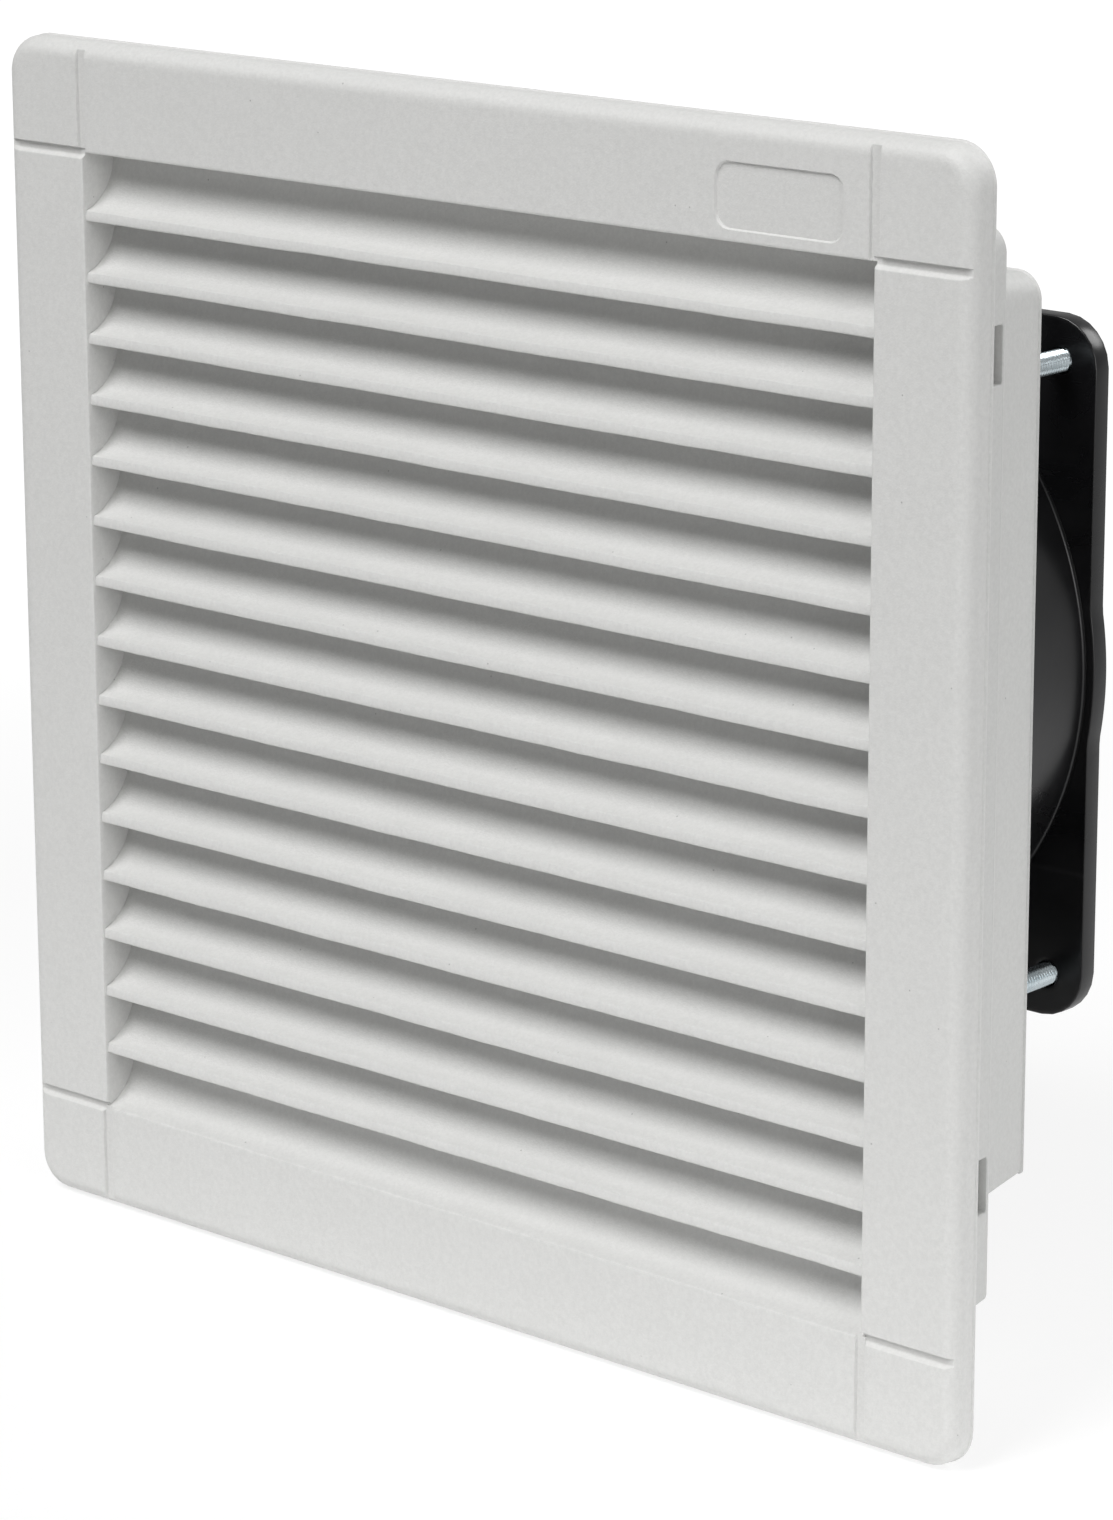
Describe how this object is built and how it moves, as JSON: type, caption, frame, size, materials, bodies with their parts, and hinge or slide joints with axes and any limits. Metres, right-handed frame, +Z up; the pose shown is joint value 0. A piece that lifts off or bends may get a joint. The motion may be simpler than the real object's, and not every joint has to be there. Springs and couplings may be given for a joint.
{
  "type": "cabinet fan",
  "caption": "Square louvred filter fan that snaps into a cabinet wall cut-out, with stepped housing, filter mat and axial fan behind.",
  "frame": {"origin": "centre of the square cut-out, on the cabinet wall's outer face, where the gasket seats", "axes": "+Y into the cabinet along the air path, +Z up, +X to the right seen from the front"},
  "size_m": [0.204, 0.0964, 0.204],
  "materials": {
    "grey_cover": "fine textured light grey",
    "grey_housing": "fine textured light grey",
    "grey_clip": "moulded light grey",
    "foam": "closed cell foam",
    "fleece": "white filter fleece",
    "black_gloss": "glossy black",
    "black_blades": "satin black",
    "black_terminal": "matt black",
    "zinc_steel": "bright zinc plated",
    "bearing_steel": "ground steel",
    "core_steel": "dull sheet steel",
    "brass_part": "turned brass",
    "copper_wire": "enamelled copper",
    "white_plastic": "natural nylon",
    "lead_insulation": "red insulation",
    "label_foil": "bare satin foil"
  },
  "bodies": {
    "housing": {"housing": "grey_housing", "panel_gasket": "foam", "guard_grid": "grey_housing", "fan_frame": "black_gloss", "fan_screws": "zinc_steel", "screw_washers": "zinc_steel", "brass_inserts": "brass_part", "bearing_tube": "brass_part", "stator_core": "core_steel", "stator_windings": "copper_wire", "winding_bobbin": "white_plastic", "front_bearing_outer": "bearing_steel", "rear_bearing_outer": "bearing_steel", "preload_washer": "bearing_steel", "fan_terminals": "zinc_steel", "motor_leads": "lead_insulation", "motor_label": "label_foil", "terminal_block": "black_terminal", "terminal_clamps": "brass_part", "terminal_screws": "zinc_steel"},
    "cover": {"front_cover": "grey_cover"},
    "filter": {"filter_mat": "fleece"},
    "clip_lu": {"clip_left_upper": "grey_clip"},
    "clip_ll": {"clip_left_lower": "grey_clip"},
    "clip_ru": {"clip_right_upper": "grey_clip"},
    "clip_rl": {"clip_right_lower": "grey_clip"},
    "rotor": {"front_bearing_inner": "bearing_steel", "front_bearing_balls": "bearing_steel", "rear_bearing_inner": "bearing_steel", "rear_bearing_balls": "bearing_steel", "shaft_clip": "core_steel", "rotor_shaft": "bearing_steel", "rotor_cup": "core_steel", "rotor_ring": "core_steel", "impeller": "black_blades"}
  },
  "joints": [
    {"name": "cover_pull", "type": "slide", "parent": "housing", "child": "cover", "axis": [0, -1, 0], "range_m": [0, 0.06]},
    {"name": "filter_pull", "type": "slide", "parent": "housing", "child": "filter", "axis": [0, -1, 0], "range_m": [0, 0.027]},
    {"name": "clip_lu_snap", "type": "hinge", "parent": "housing", "child": "clip_lu", "pos_m": [-0.0835, 0.0191, 0.066], "axis": [0, 0, 1], "range_deg": [0, 8], "stiffness_Nm_per_rad": 1},
    {"name": "clip_ll_snap", "type": "hinge", "parent": "housing", "child": "clip_ll", "pos_m": [-0.0835, 0.0191, -0.066], "axis": [0, 0, 1], "range_deg": [0, 8], "stiffness_Nm_per_rad": 1},
    {"name": "clip_ru_snap", "type": "hinge", "parent": "housing", "child": "clip_ru", "pos_m": [0.0835, 0.0191, 0.066], "axis": [0, 0, -1], "range_deg": [0, 8], "stiffness_Nm_per_rad": 1},
    {"name": "clip_rl_snap", "type": "hinge", "parent": "housing", "child": "clip_rl", "pos_m": [0.0835, 0.0191, -0.066], "axis": [0, 0, -1], "range_deg": [0, 8], "stiffness_Nm_per_rad": 1},
    {"name": "rotor_spin", "type": "hinge", "parent": "housing", "child": "rotor", "pos_m": [0, 0.066, 0], "axis": [0, 1, 0], "continuous": true}
  ],
  "couplings": [
    {"joint": "filter_pull", "follows": "cover_pull", "ratio": 0.45}
  ]
}
